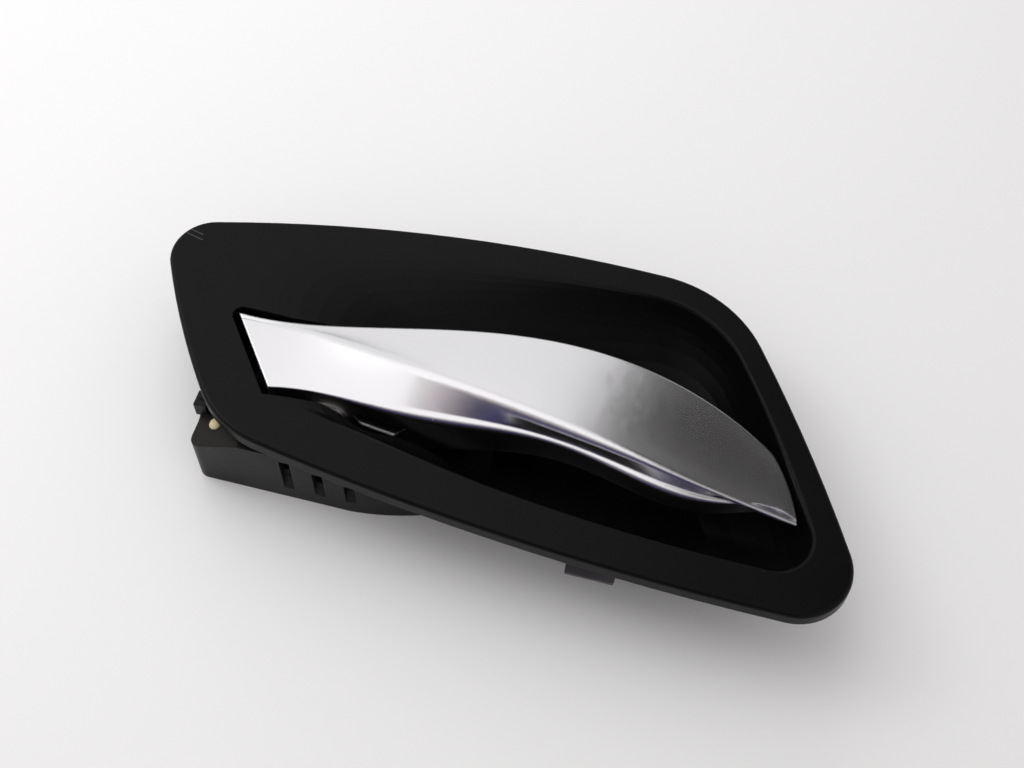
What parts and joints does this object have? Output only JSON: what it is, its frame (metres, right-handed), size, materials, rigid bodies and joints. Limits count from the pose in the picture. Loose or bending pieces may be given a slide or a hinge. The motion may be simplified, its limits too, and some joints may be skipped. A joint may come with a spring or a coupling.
{
  "type": "car interior door handle",
  "caption": "Inside pull handle of a car door: a silver lever in a black bowl-shaped bezel, with a mechanism housing behind its front end.",
  "frame": {"origin": "middle of the bezel on the plane of its back rim, which lies on the door trim", "axes": "+X along the handle to the lever's tip, +Y up on the fitted door, +Z out of the door into the car"},
  "size_m": [0.1912, 0.0893, 0.0325],
  "materials": {
    "bezel_plastic": "fine grain, black",
    "housing_plastic": "plain black moulding",
    "silver_finish": "satin silver plating",
    "bush_plastic": "natural",
    "steel": "zinc plated",
    "buffer_rubber": "matte",
    "cream_plastic": "cream, soft",
    "clip_steel": "black spring steel"
  },
  "bodies": {
    "base": {"bezel": "bezel_plastic", "housing": "housing_plastic", "pivot_pin": "steel", "retaining_ring": "steel", "return_spring": "steel", "rest_buffer": "buffer_rubber", "open_buffer": "buffer_rubber", "nose_buffer": "cream_plastic", "housing_screws": "steel", "panel_clips": "clip_steel"},
    "lever": {"lever_shell": "silver_finish", "lever_carrier": "housing_plastic", "carrier_screws": "steel", "lower_bush": "bush_plastic", "upper_bush": "bush_plastic"}
  },
  "joints": [
    {"name": "lever_pull", "type": "hinge", "parent": "base", "child": "lever", "pos_m": [-0.041, 0, -0.0085], "axis": [0, -1, 0], "range_deg": [0, 30], "stiffness_Nm_per_rad": 0.2, "springref_deg": -34.38, "deforming": ["return_spring"]}
  ]
}
